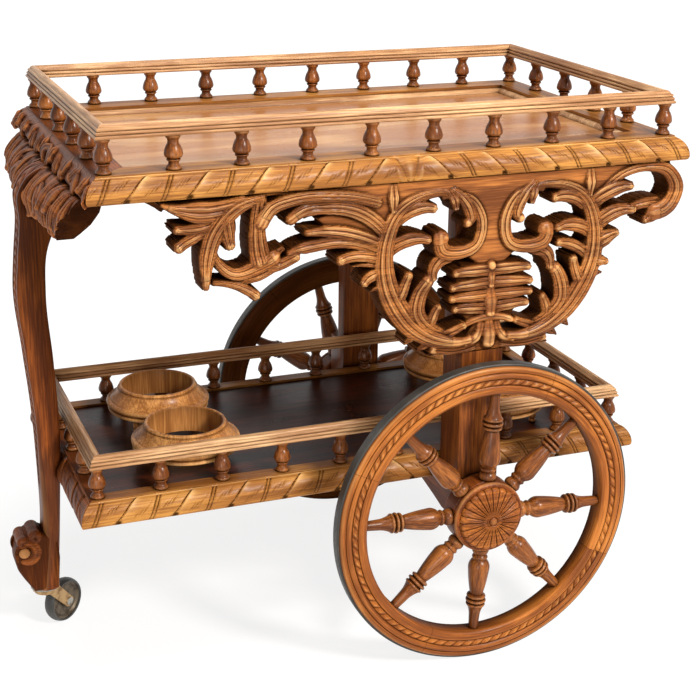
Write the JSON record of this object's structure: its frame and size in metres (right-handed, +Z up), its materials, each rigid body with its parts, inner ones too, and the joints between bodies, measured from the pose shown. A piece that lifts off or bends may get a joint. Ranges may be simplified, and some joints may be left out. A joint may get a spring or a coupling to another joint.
{
  "type": "bar cart",
  "caption": "Carved wooden bar cart with galleried top and shelf, bottle rings, large spoked wheels at one end and a cabriole leg on a swivel caster at the other.",
  "frame": {"origin": "middle of the footprint, on the floor", "axes": "+X along the length from the caster end to the wheel end, +Y from front to back, +Z up"},
  "size_m": [0.9663, 0.658, 0.838],
  "materials": {
    "carved_wood": "satin varnish, worn edges",
    "rail_wood": "satin varnish",
    "turned_wood": "satin varnish",
    "top_veneer": "polished veneer",
    "shelf_wood": "polished",
    "dark_wood": "dark varnish",
    "tyre_rubber": "worn rubber",
    "bush_brass": "plain",
    "steel": "plain",
    "caster_metal": "aged",
    "caster_rubber": "worn"
  },
  "bodies": {
    "cart": {"top_border_front": "carved_wood", "top_rail_front": "rail_wood", "top_balusters_front": "turned_wood", "top_border_left": "carved_wood", "top_rail_left": "rail_wood", "top_balusters_left": "turned_wood", "top_border_back": "carved_wood", "top_rail_back": "rail_wood", "top_balusters_back": "turned_wood", "top_border_right": "carved_wood", "top_rail_right": "rail_wood", "top_balusters_right": "turned_wood", "shelf_border_front": "carved_wood", "shelf_rail_front": "rail_wood", "shelf_balusters_front": "turned_wood", "shelf_border_left": "carved_wood", "shelf_rail_left": "rail_wood", "shelf_balusters_left": "turned_wood", "shelf_border_back": "carved_wood", "shelf_rail_back": "rail_wood", "shelf_balusters_back": "turned_wood", "shelf_border_right": "carved_wood", "shelf_rail_right": "rail_wood", "shelf_balusters_right": "turned_wood", "top_panel": "top_veneer", "shelf_panel": "shelf_wood", "top_bead": "rail_wood", "bottle_ring_front_left": "turned_wood", "bottle_ring_front_right": "turned_wood", "bottle_ring_back_left": "turned_wood", "bottle_ring_back_right": "turned_wood", "upright_front": "dark_wood", "apron_front": "carved_wood", "end_apron_front": "dark_wood", "upright_back": "dark_wood", "apron_back": "carved_wood", "end_apron_back": "dark_wood", "axle_beam": "dark_wood", "stub_axles": "steel", "axle_washers": "steel", "axle_nuts": "steel", "caster_screws": "steel", "leg": "dark_wood", "caster_plate": "caster_metal"},
    "front_wheel": {"front_wheel_tyre": "tyre_rubber", "front_wheel_felloes": "carved_wood", "front_wheel_spokes": "turned_wood", "front_wheel_hub": "turned_wood", "front_wheel_bush": "bush_brass", "front_wheel_rosette": "carved_wood"},
    "back_wheel": {"back_wheel_tyre": "tyre_rubber", "back_wheel_felloes": "carved_wood", "back_wheel_spokes": "turned_wood", "back_wheel_hub": "turned_wood", "back_wheel_bush": "bush_brass", "back_wheel_rosette": "carved_wood"},
    "caster_swivel": {"caster_fork": "caster_metal", "caster_pin": "steel"},
    "caster_roller": {"caster_wheel": "steel", "caster_tyre": "caster_rubber"}
  },
  "joints": [
    {"name": "front_wheel_spin", "type": "hinge", "parent": "cart", "child": "front_wheel", "pos_m": [0.166, -0.294, 0.236], "axis": [0, 1, 0], "continuous": true},
    {"name": "back_wheel_spin", "type": "hinge", "parent": "cart", "child": "back_wheel", "pos_m": [0.166, 0.294, 0.236], "axis": [0, 1, 0], "continuous": true},
    {"name": "caster_turn", "type": "hinge", "parent": "cart", "child": "caster_swivel", "pos_m": [-0.4375, 0, 0.073], "axis": [0, 0, 1], "continuous": true},
    {"name": "caster_roll", "type": "hinge", "parent": "caster_swivel", "child": "caster_roller", "pos_m": [-0.40756, 0.02339, 0.035], "axis": [-0.6157, 0.788, 0], "continuous": true}
  ]
}
